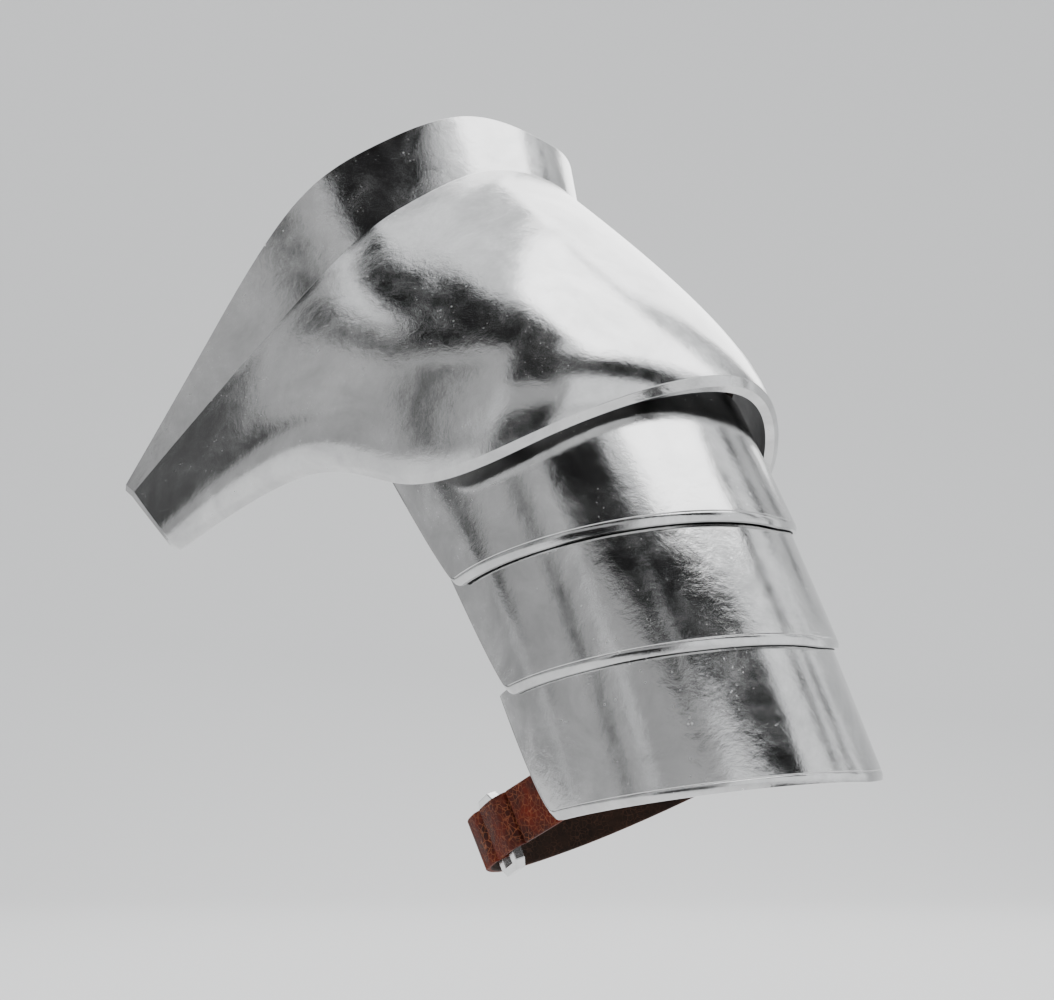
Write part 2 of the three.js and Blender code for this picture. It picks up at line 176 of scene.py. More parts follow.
# %% stations of the main plate
PLATE_WALL = 2.2
RIM_WALL = 4.6
RIM_START = 0.86
RIM_DROP = 3.6
RIM_LEAN_OUTSIDE = 0.55
RIM_LEAN_INSIDE = 0.3
TIP_BAND = 3.0
TIP_LEAN = 0.55
PLATE_STEPS_ROUND = 241
PLATE_STEPS_DOWN = 61
FLANGE_STEPS = 9
HALF_STATIONS = {
    "flange": [(-22, 0, 46.5), (-33.5, -36, 47.5), (-59.5, -64, 32), (-88, -85, 4),
               (-127, -97, -52.5), (-170.5, -101, -104.5)],
    "crease": [(-17, 0, 25), (-25.5, -32, 21.5), (-45, -57, 4.5), (-63.5, -76, -18),
               (-106, -92, -61), (-165.5, -100, -108.5)],
    "bulge": [(46, 0, -39), (35.5, -58, -49), (4, -82, -64), (-27, -94, -76),
              (-73.5, -101, -91), (-147, -103, -122.5)],
    "rim": [(79, 0, -82), (54.5, -60, -100), (18.5, -82, -117), (-18, -90, -120.5),
            (-62.5, -95, -112.5), (-137, -100, -134)],
}
STATIONS = {
    line: [(x, -y, z) for x, y, z in reversed(points[1:])] + points
    for line, points in HALF_STATIONS.items()
}
print("stations along the plate:", len(STATIONS["rim"]))

# %% surface of the main plate
def plate_outside(u, v):
    """Points of the plate's outside: u from the back wing to the front one, v from crease to rim."""
    crease, bulge, rim = (spline(STATIONS[line], u)[:, None] for line in ("crease", "bulge", "rim"))
    v = np.asarray(v, float)[None, :, None]
    pull = 2 * bulge - (crease + rim) / 2
    return crease * (1 - v) ** 2 + pull * 2 * v * (1 - v) + rim * v ** 2


def plate_inward(u, v, step=0.003):
    """Unit directions into the plate, square to its outside."""
    u, v = np.asarray(u, float), np.asarray(v, float)
    along = plate_outside(np.minimum(u + step, 1), v) - plate_outside(np.maximum(u - step, 0), v)
    down = plate_outside(u, np.minimum(v + step, 1)) - plate_outside(u, np.maximum(v - step, 0))
    return unit(np.cross(down, along))


def main_plate():
    u = np.linspace(0, 1, PLATE_STEPS_ROUND)
    v = np.linspace(0, 1, PLATE_STEPS_DOWN)
    skin = plate_outside(u, v)
    inward = plate_inward(u, v)
    thick = mix(PLATE_WALL, RIM_WALL, ease(v, RIM_START, 1))[None, :, None]
    lining = skin + inward * thick

    crease, top = skin[:, :1], spline(STATIONS["flange"], u)[:, None]
    rise = unit(top - crease)
    run = unit(np.gradient(crease[:, 0], axis=0))[:, None]
    flange_in = unit(np.cross(rise, run))
    flange_in *= np.sign((flange_in * inward[:, :1]).sum(-1, keepdims=True))
    share = np.linspace(0, 1, FLANGE_STEPS)[None, :-1, None]
    flange = mix(top, crease, share)
    flange_lining = flange + flange_in * PLATE_WALL
    mitre = unit(flange_in + inward[:, :1])
    reach = PLATE_WALL / np.maximum((mitre * inward[:, :1]).sum(-1, keepdims=True), 0.5)
    lining[:, :1] = crease + mitre * reach

    down = unit(skin[:, -1:] - skin[:, -2:-1])
    face = skin[:, -1:] + (down + inward[:, -1:] * RIM_LEAN_OUTSIDE) * RIM_DROP
    back = lining[:, -1:] + (down + inward[:, -1:] * RIM_LEAN_INSIDE) * RIM_DROP
    outside = np.concatenate([flange, skin, face], 1)
    inside = np.concatenate([flange_lining, lining, back], 1)
    into = unit(inside - outside)

    def tip(row, beside):
        onward = unit(outside[row] - outside[beside])
        lean = onward + into[row] * TIP_LEAN
        return outside[row] + lean * TIP_BAND, inside[row] + onward * TIP_BAND

    (first_out, first_in), (last_out, last_in) = tip(0, 1), tip(-1, -2)
    outside = np.concatenate([first_out[None], outside, last_out[None]])
    inside = np.concatenate([first_in[None], inside, last_in[None]])
    return sheet_mesh("shoulder_plate", outside, inside)


PLATE_BREAK = 0.4
PLATE_BREAK_ANGLE = 16   # the rim's bevel turns by less than add_piece's usual angle
plate = add_piece(
    "shoulder_plate", main_plate(), ["main_plate"], PLATE_BREAK, PLATE_BREAK_ANGLE)
print("main plate faces:", len(plate.data.polygons))

# %% [markdown]
# ## The three lames
#
# Each lame is a band of a leaning cone, wider at its top so that the one above can slip over it. A
# ring at the lower edge and one at the upper edge set its size. Toward the front it reaches well
# round the arm, and its front edge bows; toward the back it stops sooner and its lower corner is
# rounded. Behind straight outwards its lower edge climbs, after an eased start. A line is scribed
# three quarters of a millimetre inside the edges, and beyond it the edge is filed back in two steps,
# so the bare edge reads as a bright line over a darker one.

# %% lames
LAME_WALL = 2.0
LAME_BACK = 68
BACK_CORNER = 16
BACK_CORNER_RISE = 0.3
CLIMB_EASE = 12
FRONT_BOW = 0.6
FRONT_BAND = 0.9
CORNER_CUT = 1.6
LINE_WIDTH = 0.55
LINE_DEPTH = 0.22
LINE_PLACE = 0.75
NEAR_EDGE = np.array([
    0, 0.3, LINE_PLACE - LINE_WIDTH / 2, LINE_PLACE, LINE_PLACE + LINE_WIDTH / 2, 1.4, 2.2, 3.4])
EVEN_FROM = 5.0
LAME_STEPS_ROUND = 130
LAME_STEPS_UP = 30
FILED_STEPS = ((0.9, 0.2), (2.5, 0.95))
# low and high hold a ring each: its centre along X, its radius, its rise for each millimetre outwards,
# and how far round the front it reaches, in degrees. climb is in millimetres for each degree.
LAMES = {
    "lame_upper": dict(z=-151.5, height=50, climb=0.23,
        low=(17.7, 71.0, 0.21, 114), high=(-10, 73.0, 0.27, 123)),
    "lame_middle": dict(z=-193.5, height=46, climb=0.16,
        low=(38.3, 66.2, 0.18, 114), high=(16.5, 67.6, 0.21, 123)),
    "lame_lower": dict(z=-238.3, height=46, climb=0.11,
        low=(56.2, 63.5, 0.15, 114), high=(38, 63.2, 0.18, 130)),
}


def lame_point(lame, angle, t, depth=0):
    """Point of a lame: angle round it in degrees, t from lower to upper edge, depth below its outside."""
    (low_x, low_r, low_rise, _), (high_x, high_r, high_rise, _) = lame["low"], lame["high"]
    r = mix(low_r, high_r, t) - depth
    out = r * np.cos(np.radians(angle))
    up = lame["z"] + lame["height"] * t + mix(low_rise, high_rise, t) * out
    return np.stack([mix(low_x, high_x, t) + out, r * np.sin(np.radians(angle)), up], -1)


def lame_mesh(name, lame):
    height, r = lame["height"], lame["low"][1]
    whole = (LAME_BACK + lame["low"][3]) * math.pi / 180 * r
    from_front = np.concatenate([NEAR_EDGE, np.linspace(EVEN_FROM, whole, LAME_STEPS_ROUND)])
    rows = np.concatenate([NEAR_EDGE, np.linspace(EVEN_FROM, height, LAME_STEPS_UP)])
    place = (from_front / whole)[:, None]
    back_angle = mix(-lame["low"][3], LAME_BACK, place)
    corner = np.clip((back_angle - (LAME_BACK - BACK_CORNER)) / BACK_CORNER, 0, 1)
    behind = np.maximum(back_angle, 0)
    low = lame["climb"] * behind ** 2 / (behind + CLIMB_EASE) / height
    low = low + BACK_CORNER_RISE * (1 - np.sqrt(1 - corner ** 2))
    low = low + np.maximum(CORNER_CUT - from_front, 0)[:, None] / height
    t = mix(low, 1, rows[None] / height)
    front = mix(lame["low"][3], lame["high"][3], np.maximum(t, 0) ** FRONT_BOW)
    angle = mix(-front, LAME_BACK, place)
    nearest = np.minimum(from_front[:, None], rows[None])
    line = LINE_DEPTH * np.clip(1 - np.abs(nearest - LINE_PLACE) / (LINE_WIDTH / 2), 0, 1)
    outside = lame_point(lame, angle, t, line)
    inside = lame_point(lame, angle, t, LAME_WALL)

    filed_out, filed_in = [], []
    for drop, lean in reversed(FILED_STEPS):
        edge_t, edge_angle = low - drop / height, angle[:, :1]
        filed_out.append(lame_point(lame, edge_angle, edge_t, lean))
        filed_in.append(lame_point(lame, edge_angle, edge_t, LAME_WALL + lean / 3))
    outside = np.concatenate([*filed_out, outside], 1)
    inside = np.concatenate([*filed_in, inside], 1)
    onward = unit(outside[:1] - outside[1:2])
    into = unit(inside[:1] - outside[:1])
    outside = np.concatenate([outside[:1] + (onward + into * 0.6) * FRONT_BAND, outside])
    inside = np.concatenate([inside[:1] + onward * FRONT_BAND, inside])
    return sheet_mesh(name, outside, inside)


LAME_BREAK = 0.12
lames = [
    add_piece(node + "_dressed", lame_mesh(node, lame), [node], LAME_BREAK)
    for node, lame in LAMES.items()
]
print("lame faces:", [len(lame.data.polygons) for lame in lames])

# %% [markdown]
# ## The strap
#
# The arm strap is vegetable-tanned leather, 20 mm wide and 2.4 mm thick, and lies in one leaning
# plane. Its front half comes from a rivet inside the lowest lame, runs forward, and climbs in a short
# step on to the buckle, where its tip lies over the frame. At the foot of the step the leather has
# cracked into a narrow groove from years of being pulled tight. The back half rolls round the far bar
# of the buckle, its folded end tucked inside, and goes round behind the arm.

# %% leather bands
LEATHER_WALL = 2.4
STRAP_WIDTH = 20
STRAP_Z, STRAP_SLOPE_X, STRAP_SLOPE_Y = -238.1, 0.42, 0.14
EDGE_ROUND = 0.45
FLAT_FROM = 1.6
STEPS_ACROSS = 9


def chain(points, at):
    """Catmull-Rom curve, which keeps closer to its points than the spline where leather turns sharply."""
    points = np.asarray(points, float)
    whole = np.concatenate([[2 * points[0] - points[1]], points, [2 * points[-1] - points[-2]]])
    place = np.clip(at, 0, 1) * (len(points) - 1)
    k = np.minimum(place.astype(int), len(points) - 2)
    s = (place - k)[:, None]
    before, start, end, after = (whole[k + i] for i in range(4))
    return start + 0.5 * s * (end - before + s * (
        2 * before - 5 * start + 4 * end - after + s * (3 * (start - end) + after - before)))


def band_mesh(name, route, across, width, wall, groove=None):
    """Flat leather band along a route. groove gives the depth of a cut in its upper face, per point."""
    route, across = np.asarray(route, float), np.asarray(across, float)
    tangent = unit(np.gradient(route, axis=0))
    square = unit(np.cross(across, tangent))
    half, deep = width / 2, wall / 2
    flat = np.linspace(-half + FLAT_FROM, half - FLAT_FROM, STEPS_ACROSS)
    places = np.array([-half, -half + EDGE_ROUND, *flat, half - EDGE_ROUND, half])
    lift = np.full(len(places), deep)
    lift[[0, -1]] = deep - EDGE_ROUND
    cut = np.zeros(len(route)) if groove is None else groove
    upper = lift[None] - cut[:, None]
    side = across[None, None] * places[None, :, None]
    outside = route[:, None] + side + square[:, None] * upper[..., None]
    inside = route[:, None] + side - square[:, None] * lift[None, :, None]
    return sheet_mesh(name, outside, inside)


def on_strap_plane(x, y):
    return np.array([x, y, STRAP_Z + STRAP_SLOPE_X * x + STRAP_SLOPE_Y * y])


strap_up = unit(np.array([-STRAP_SLOPE_X, -STRAP_SLOPE_Y, 1.0]))
print("the strap's plane faces", strap_up.round(3))

# %% where the buckle sits
BUCKLE_AT = (-13, -36)
BUCKLE_TURN = math.radians(149)
BUCKLE_LENGTH, BUCKLE_WIDTH, BUCKLE_DEPTH = 17, 30, 4
BUCKLE_BAR, BUCKLE_SIDE = 4.5, 3.2
BUCKLE_LOWER = 1.4
CLEARANCE = 0.4

buckle_centre = on_strap_plane(*BUCKLE_AT)
buckle_ahead = on_strap_plane(BUCKLE_AT[0] + math.cos(BUCKLE_TURN), BUCKLE_AT[1] + math.sin(BUCKLE_TURN))
buckle_along = unit(buckle_ahead - buckle_centre)
buckle_out = unit(np.cross(strap_up, buckle_along))


def at_buckle(along, out):
    return buckle_centre + buckle_along * along + buckle_out * out


over_frame = BUCKLE_DEPTH / 2 + CLEARANCE + LEATHER_WALL / 2
bar_centre = (BUCKLE_LENGTH - BUCKLE_BAR) / 2
roll = math.hypot(BUCKLE_BAR, BUCKLE_DEPTH) / 2 + CLEARANCE + LEATHER_WALL / 2
print("the strap's tip lies", round(over_frame, 2), "mm over the buckle's middle")

# %% the strap's two halves
FRONT_ROUTE = [(54, -56.8), (42, -56), (30, -51.8), (18, -47.6)]
STRAP_TIP = [(-18.5, 4.6), (-15.5, 2.4), (-12, 0.6), (-6, 0), (0.2, 0)]
BACK_ROUTE = [(-34, -22), (-40, -6), (-39, 14), (-29, 36), (-10, 52),
              (14, 60), (42, 60.5), (61, 54), (75, 46.5), (82, 40.5)]
GROOVE_PLACE = -17.6
GROOVE_HALF = 0.8
GROOVE_DEPTH = 1.5
FRONT_STEPS, BACK_STEPS, ROLL_STEPS = 221, 160, 15
# Beyond the far bar: how far along from the bar's middle, and how far inside the roll's full radius.
FOLDED_END = [(14, 1.4), (7, 0.3)]
LEAVING_ROLL = [(4, 0), (9, 0.8)]

front_points = [on_strap_plane(x, y) for x, y in FRONT_ROUTE]
front_points += [at_buckle(along, over_frame - short) for along, short in STRAP_TIP]
front_route = chain(front_points, np.linspace(0, 1, FRONT_STEPS))
from_buckle = (front_route - buckle_centre) @ buckle_along
groove = GROOVE_DEPTH * np.clip(1 - np.abs(from_buckle - GROOVE_PLACE) / GROOVE_HALF, 0, 1)
strap_front = add_piece(
    "front_strap", band_mesh("front_strap", front_route, strap_up, STRAP_WIDTH, LEATHER_WALL, groove),
    ["strap_front"], 0)

half_turn = np.radians(np.linspace(-90, 90, ROLL_STEPS))
folded_end = [at_buckle(bar_centre + along, -roll + short) for along, short in FOLDED_END]
rolled = [at_buckle(bar_centre - roll * math.cos(a), roll * math.sin(a)) for a in half_turn]
round_arm = [at_buckle(bar_centre + along, roll - short) for along, short in LEAVING_ROLL]
round_arm += [on_strap_plane(x, y) for x, y in BACK_ROUTE]
back_route = np.array([*folded_end, *rolled, *chain(round_arm, np.linspace(0, 1, BACK_STEPS))])
strap_back = add_piece(
    "back_strap", band_mesh("back_strap", back_route, strap_up, STRAP_WIDTH, LEATHER_WALL),
    ["strap_back"], 0)
print("strap pieces:", strap_front.name, "and", strap_back.name)

# %% [markdown]
# ## The buckle
#
# The buckle is a plain rectangular frame filed from bar, 30 mm across the strap, with cut corners and
# a window, and it hangs a little below the strap's middle. A pin between its two bars stands for the
# tongue, which lies hidden under the strap's tip. Both are built flat, square to the axes, and then
# set on the strap's plane.

# %% buckle frame and tongue
def placed_at_buckle(mesh):
    turn = Matrix([list(buckle_along), list(-strap_up), list(buckle_out)]).transposed().to_4x4()
    centre = buckle_centre - strap_up * BUCKLE_LOWER
    mesh.transform(Matrix.Translation(Vector(centre * MM)) @ turn)
    return mesh


BUCKLE_CORNER = 3.0
BUCKLE_BREAK = 0.45
PIN_BREAK = 0.4
PIN_WIDTH, PIN_DEPTH, PIN_GAP = 3, 2, 0.3


def frame_mesh(corner=BUCKLE_CORNER):
    half_l, half_w = BUCKLE_LENGTH / 2, BUCKLE_WIDTH / 2
    rim = [(-half_l + corner, -half_w), (half_l - corner, -half_w), (half_l, -half_w + corner),
           (half_l, half_w - corner), (half_l - corner, half_w), (-half_l + corner, half_w),
           (-half_l, half_w - corner), (-half_l, -half_w + corner)]
    open_l, open_w = half_l - BUCKLE_BAR, half_w - BUCKLE_SIDE
    window = [(max(-open_l, min(open_l, x)), max(-open_w, min(open_w, y))) for x, y in rim]
    points, faces = [], []
    for side in (-1, 1):
        points += [(x, y, side * BUCKLE_DEPTH / 2) for x, y in rim + window]
    count = len(rim)
    for i in range(count):
        j = (i + 1) % count
        faces += [(i, j, count + j, count + i)]
        faces += [(2 * count + j, 2 * count + i, 3 * count + i, 3 * count + j)]
        faces += [(j, i, 2 * count + i, 2 * count + j)]
        faces += [(count + i, count + j, 3 * count + j, 3 * count + i)]
    mesh = bpy.data.meshes.new("buckle_frame_filed")
    shape = bmesh.new()
    corners = [shape.verts.new(Vector(p) * MM) for p in points]
    for face in faces:
        shape.faces.new([corners[k] for k in face])
    bmesh.ops.remove_doubles(shape, verts=shape.verts, dist=0.01 * MM)
    bmesh.ops.dissolve_degenerate(shape, edges=shape.edges, dist=0.01 * MM)
    bmesh.ops.recalc_face_normals(shape, faces=shape.faces)
    shape.to_mesh(mesh)
    shape.free()
    return placed_at_buckle(mesh)


buckle = add_piece("buckle_frame_filed", frame_mesh(), ["buckle_frame"], BUCKLE_BREAK)


def tongue_mesh():
    spare = LEATHER_WALL + 2 * CLEARANCE
    length = BUCKLE_LENGTH - 2 * BUCKLE_BAR - 2 * (CLEARANCE + PIN_GAP) - spare
    mesh = bpy.data.meshes.new("buckle_pin")
    shape = bmesh.new()
    bmesh.ops.create_cube(shape, size=1)
    bmesh.ops.scale(shape, vec=Vector((length, PIN_WIDTH, PIN_DEPTH)) * MM, verts=shape.verts)
    bmesh.ops.translate(shape, vec=Vector((-spare / 2, 0, 0)) * MM, verts=shape.verts)
    shape.to_mesh(mesh)
    shape.free()
    return placed_at_buckle(mesh)


tongue = add_piece("buckle_pin", tongue_mesh(), ["buckle_tongue"], PIN_BREAK)
print("buckle faces:", len(buckle.data.polygons), "and", len(tongue.data.polygons))

# %% [markdown]
# ## Inner leathers and rivets
#
# Three leathers run up inside, from the lowest lame to the main plate, and every plate is riveted to
# them. They let the lames slide yet keep them in line. They are cut plainly, since nobody sees them.
# Each rivet is closed over the leather in a low dome.

# %% inner leathers
INNER_WALL = 1.8
INNER_WIDTH = 16
LEATHER_ANGLES = {"front": -76, "middle": -22, "back": 28}
LEATHER_TOP = {"front": (0.70, 0.58), "middle": (0.545, 0.6), "back": (0.44, 0.6)}
LEATHER_STOPS = [("lame_lower", 0.3, 0), ("lame_lower", 0.85, 1), ("lame_middle", 0.4, 0),
                 ("lame_middle", 0.85, 1), ("lame_upper", 0.35, 0), ("lame_upper", 0.9, 2.2)]
LAME_CLEARANCE = 1.5
PLATE_CLEARANCE = 3.4
TOP_EXTRA = 2.1
TOP_LEAD = [(0.06, 0.3), (0, 0)]
INNER_STEPS = 100


def inner_leather(where):
    angle = LEATHER_ANGLES[where]
    flat = LAME_WALL + LAME_CLEARANCE + INNER_WALL / 2
    stops = [lame_point(LAMES[lame], angle, t, flat + extra * TOP_EXTRA)
             for lame, t, extra in LEATHER_STOPS]
    u, v = LEATHER_TOP[where]
    under_plate = PLATE_WALL + PLATE_CLEARANCE + INNER_WALL / 2
    for down, extra in TOP_LEAD:
        inward = plate_inward([u], [v + down])
        on_plate = plate_outside([u], [v + down]) + inward * (under_plate + extra)
        stops.append(on_plate[0, 0])
    across = np.array([-math.sin(math.radians(angle)), math.cos(math.radians(angle)), 0])
    route = chain(stops, np.linspace(0, 1, INNER_STEPS))
    mesh = band_mesh("leather_" + where, route, across, INNER_WIDTH, INNER_WALL)
    return add_piece("leather_" + where, mesh, ["inner_leather_" + where], 0)


inner_leathers = [inner_leather(where) for where in LEATHER_ANGLES]
print("inner leathers:", [leather.name for leather in inner_leathers])

# %% rivets
ARM_CENTRE = Vector((30, 0, -180)) * MM
RIVET_RADIUS = 4.0
RIVET_DOME = 1.9
RIVET_BRIM = 0.35
RIVET_SIDES = 32
DOME_RINGS = 6


def rivet(node):
    """Domed head in the place of a plain disc: its middle and its flat direction are read from the disc."""
    disc = np.array([v.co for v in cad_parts[node].data.vertices])
    middle = Vector((disc.min(0) + disc.max(0)) / 2)
    axis = Vector(np.linalg.svd(disc - disc.mean(0))[2][2])
    if axis.dot(ARM_CENTRE - middle) < 0:
        axis = -axis
    thick = np.ptp((disc - disc.mean(0)) @ np.array(axis)) / MM
    foot = -thick / 2
    brim = foot + RIVET_BRIM
    rings = [(0, foot), (RIVET_RADIUS, foot), (RIVET_RADIUS, brim)]
    for k in range(1, DOME_RINGS + 1):
        lean = math.radians(90 / DOME_RINGS * k)
        rings.append((RIVET_RADIUS * math.cos(lean), brim + (RIVET_DOME - RIVET_BRIM) * math.sin(lean)))
    mesh = bpy.data.meshes.new(node)
    shape = bmesh.new()
    loops = []
    for r, h in rings:
        if r < 0.01:
            loops.append([shape.verts.new((0, 0, h * MM))])
        else:
            turns = [2 * math.pi * s / RIVET_SIDES for s in range(RIVET_SIDES)]
            loops.append([shape.verts.new((r * math.cos(a) * MM, r * math.sin(a) * MM, h * MM))
                          for a in turns])
    for lower, upper in zip(loops, loops[1:]):
        for s in range(RIVET_SIDES):
            n = (s + 1) % RIVET_SIDES
            if len(lower) == 1:
                shape.faces.new((lower[0], upper[n], upper[s]))
            elif len(upper) == 1:
                shape.faces.new((lower[s], lower[n], upper[0]))
            else:
                shape.faces.new((lower[s], lower[n], upper[n], upper[s]))
    shape.to_mesh(mesh)
    shape.free()
    mesh.transform(Matrix.Translation(middle) @ axis.to_track_quat("Z", "Y").to_matrix().to_4x4())
    return add_piece(node + "_dressed", mesh, [node], 0)


rivets = [rivet(node) for node in sorted(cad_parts) if node.startswith("rivet")]
print("rivets:", len(rivets))

# %% [markdown]
# ## Finishes
#
# Three finishes cover everything: polished plate steel, brighter buckle steel, and old leather. Each
# is grown from noise in the object's own space, so it has no seams and needs no picture.
#
# Polished plate never mirrors cleanly. The hammer leaves faint waves that tear the edges of every
# reflection, handling leaves a cloudy film, and years of wear add hair scratches and pale specks. One
# shared group makes those marks, and every steel uses it in its own strength.

# %% node helpers
def add_node(tree, kind, inputs=(), **settings):
    node = tree.nodes.new("ShaderNode" + kind)
    for key, value in settings.items():
        setattr(node, key, value)
    for key, value in dict(inputs).items():
        if isinstance(value, bpy.types.NodeSocket):
            tree.links.new(value, node.inputs[key])
        else:
            node.inputs[key].default_value = value
    return node


def between(tree, value, low, high, to_low=0.0, to_high=1.0):
    """The value's range from low to high, stretched to another range and held there."""
    return add_node(tree, "MapRange", {
        "Value": value, "From Min": low, "From Max": high, "To Min": to_low, "To Max": to_high}).outputs[0]


def blend(tree, amount, a, b):
    node = add_node(tree, "Mix", data_type="RGBA")
    for socket, value in zip((node.inputs[0], node.inputs[6], node.inputs[7]), (amount, a, b)):
        if isinstance(value, bpy.types.NodeSocket):
            tree.links.new(value, socket)
        else:
            socket.default_value = value
    return node.outputs[2]


def calculate(tree, operation, a, b):
    return add_node(tree, "Math", {0: a, 1: b}, operation=operation).outputs[0]


def new_group(name, inputs, outputs):
    """Group with named inputs, a number or a colour each, and named outputs of the kinds given."""
    tree = bpy.data.node_groups.new(name, "ShaderNodeTree")
    for socket, value in inputs.items():
        kind = "NodeSocketColor" if isinstance(value, tuple) else "NodeSocketFloat"
        tree.interface.new_socket(socket, in_out="INPUT", socket_type=kind).default_value = value
    for socket, kind in outputs.items():
        tree.interface.new_socket(socket, in_out="OUTPUT", socket_type="NodeSocket" + kind)
    return tree, tree.nodes.new("NodeGroupInput"), tree.nodes.new("NodeGroupOutput")


print("node helpers ready")

# %% worn polish, shared by the steels
def make_worn_polish():
    tree, given, result = new_group(
        "worn polish",
        {"Filmed Tint": (0.5, 0.5, 0.5, 1), "Clean Tint": (0.66, 0.66, 0.66, 1),
         "Bright Roughness": 0.2, "Dull Roughness": 0.4, "Marks": 1.0},
        {"Color": "Color", "Roughness": "Float", "Height": "Float"})
    place = add_node(tree, "TexCoord").outputs["Object"]
    film = add_node(tree, "TexNoise", {
        "Vector": place, "Scale": 40, "Detail": 9, "Roughness": 0.7, "Distortion": 0.4}).outputs[0]
    tear = add_node(tree, "TexNoise", {
        "Vector": place, "Scale": 120, "Detail": 8, "Roughness": 0.66, "Distortion": 0.3}).outputs[0]
    grain = add_node(tree, "TexNoise", {
        "Vector": place, "Scale": 1400, "Detail": 3, "Roughness": 0.6}).outputs[0]
    marks = given.outputs["Marks"]

    hairs = None
    for turn, squeeze in (((0.4, 0.9, 0.3), (30, 1500, 900)), ((1.1, -0.5, 1.9), (1300, 36, 1100))):
        turned = add_node(tree, "Mapping", {"Vector": place, "Rotation": turn, "Scale": squeeze}).outputs[0]
        hair = add_node(tree, "TexNoise", {"Vector": turned, "Scale": 1, "Detail": 1}).outputs[0]
        hair = between(tree, hair, 0.72, 0.78)
        hairs = hair if hairs is None else calculate(tree, "MAXIMUM", hairs, hair)
    hairs = calculate(tree, "MULTIPLY", hairs, marks)

    dots = add_node(tree, "TexVoronoi", {
        "Vector": place, "Scale": 260, "Randomness": 1}).outputs["Distance"]
    patch = add_node(tree, "TexNoise", {
        "Vector": place, "Scale": 27, "Detail": 5, "Roughness": 0.7}).outputs[0]
    specks = calculate(tree, "MULTIPLY", between(tree, dots, 0.16, 0.08), between(tree, patch, 0.55, 0.63))
    specks = calculate(tree, "MULTIPLY", specks, marks)

    colour = blend(tree, between(tree, film, 0.35, 0.65),
                   given.outputs["Filmed Tint"], given.outputs["Clean Tint"])
    colour = blend(tree, specks, colour, (0.85, 0.85, 0.85, 1))
    rough = add_node(tree, "MapRange", {
        "Value": film, "From Min": 0.34, "From Max": 0.66,
        "To Min": given.outputs["Bright Roughness"], "To Max": given.outputs["Dull Roughness"]}).outputs[0]
    rough = calculate(tree, "ADD", rough, calculate(tree, "MULTIPLY", hairs, 0.12))
    rough = calculate(tree, "ADD", rough, calculate(tree, "MULTIPLY", specks, 0.3))
    height = calculate(tree, "ADD", tear, calculate(tree, "MULTIPLY", grain, 0.02))
    height = calculate(tree, "SUBTRACT", height, calculate(tree, "MULTIPLY", hairs, 0.02))
    tree.links.new(colour, result.inputs["Color"])
    tree.links.new(rough, result.inputs["Roughness"])
    tree.links.new(height, result.inputs["Height"])
    return tree


worn_polish = make_worn_polish()
print("group made:", worn_polish.name)

# %% the steels
def new_material(name):
    material = bpy.data.materials.new(name)
    material.use_nodes = True
    tree = material.node_tree
    tree.nodes.clear()
    shader = add_node(tree, "BsdfPrincipled")
    surface = add_node(tree, "OutputMaterial")
    tree.links.new(shader.outputs[0], surface.inputs["Surface"])
    return material, tree, shader


def make_steel(name, filmed, clean, bright, dull, marks, wave):
    """Steel by its grey under the film and where clean, its roughness where bright and where dull,
    the strength of its marks, and the height of its waves in metres."""
    material, tree, shader = new_material(name)
    polish = add_node(tree, "Group", node_tree=worn_polish)
    settings = ((*[filmed] * 3, 1), (*[clean] * 3, 1), bright, dull, marks)
    for socket, value in zip(polish.inputs, settings):
        socket.default_value = value
    bump = add_node(tree, "Bump", {"Height": polish.outputs["Height"], "Distance": wave, "Strength": 1.0})
    shader.inputs["Metallic"].default_value = 1.0
    tree.links.new(polish.outputs["Color"], shader.inputs["Base Color"])
    tree.links.new(polish.outputs["Roughness"], shader.inputs["Roughness"])
    tree.links.new(bump.outputs["Normal"], shader.inputs["Normal"])
    return material


plate_steel = make_steel("polished plate", 0.48, 0.68, 0.08, 0.22, 1.0, 0.00013)
plate_lining = make_steel("plate lining", 0.10, 0.2, 0.42, 0.6, 0.4, 0.0004)
buckle_steel = make_steel("buckle steel", 0.6, 0.75, 0.14, 0.3, 0.6, 0.0001)
rivet_steel = make_steel("rivet steel", 0.4, 0.6, 0.25, 0.45, 0.5, 0.0001)
print("steels:", [m.name for m in (plate_steel, plate_lining, buckle_steel, rivet_steel)])

# %% [markdown]
# The strap is old red-brown leather. Its glazed surface has cracked into a net of lines about two
# millimetres apart, and the lighter corium shows through them. The flesh side and the leathers inside
# are darker and duller, with the same net hardly showing. The two kinds share one group.

